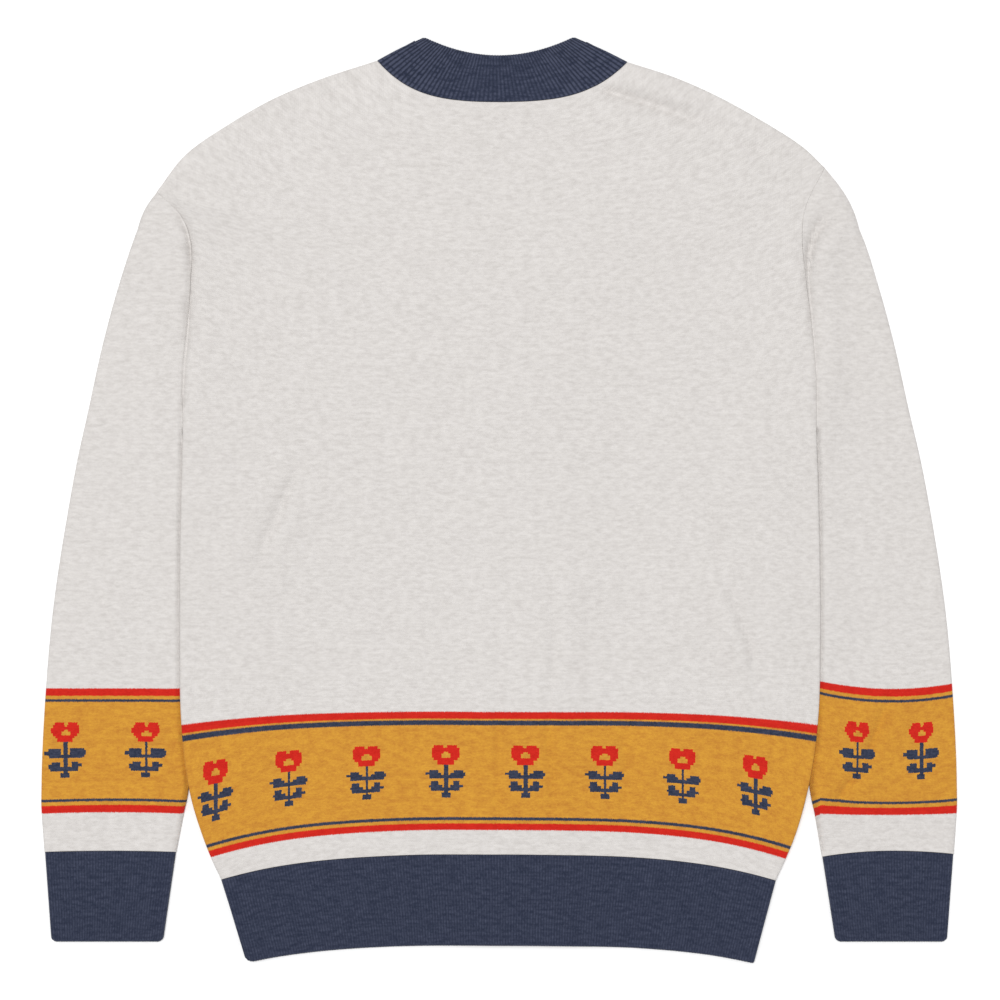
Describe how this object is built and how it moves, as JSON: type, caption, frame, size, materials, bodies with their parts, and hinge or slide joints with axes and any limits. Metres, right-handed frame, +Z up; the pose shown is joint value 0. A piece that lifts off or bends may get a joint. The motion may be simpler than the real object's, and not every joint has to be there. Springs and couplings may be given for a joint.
{
  "type": "knitted cardigan, laid flat",
  "caption": "Knitted cardigan lying flat on its front, back up, with ribbed neckband, cuffs and hem and a flowered border above the ribs.",
  "frame": {"origin": "on the surface the cardigan lies on, under the middle of its outline", "axes": "+Y towards the collar, +X towards the wearer's right sleeve, +Z up, away from the surface"},
  "size_m": [0.7174, 0.7254, 0.0096],
  "materials": {
    "body_knit": "off-white heathered fine knit with a mustard, red and navy border, matte",
    "navy_rib": "navy heathered 1x1 rib knit, matte",
    "button": "dark navy resin, satin"
  },
  "bodies": {
    "root": {"back": "body_knit", "front_left": "body_knit", "front_right": "body_knit", "sleeve_left": "body_knit", "sleeve_right": "body_knit", "neckband": "navy_rib", "cuff_left": "navy_rib", "cuff_right": "navy_rib", "hem_rib_back": "navy_rib", "hem_rib_front_left": "navy_rib", "hem_rib_front_right": "navy_rib", "front_band_left": "navy_rib", "front_band_right": "navy_rib", "button_1": "button", "button_2": "button", "button_3": "button", "button_4": "button", "button_5": "button", "button_6": "button"}
  },
  "joints": []
}
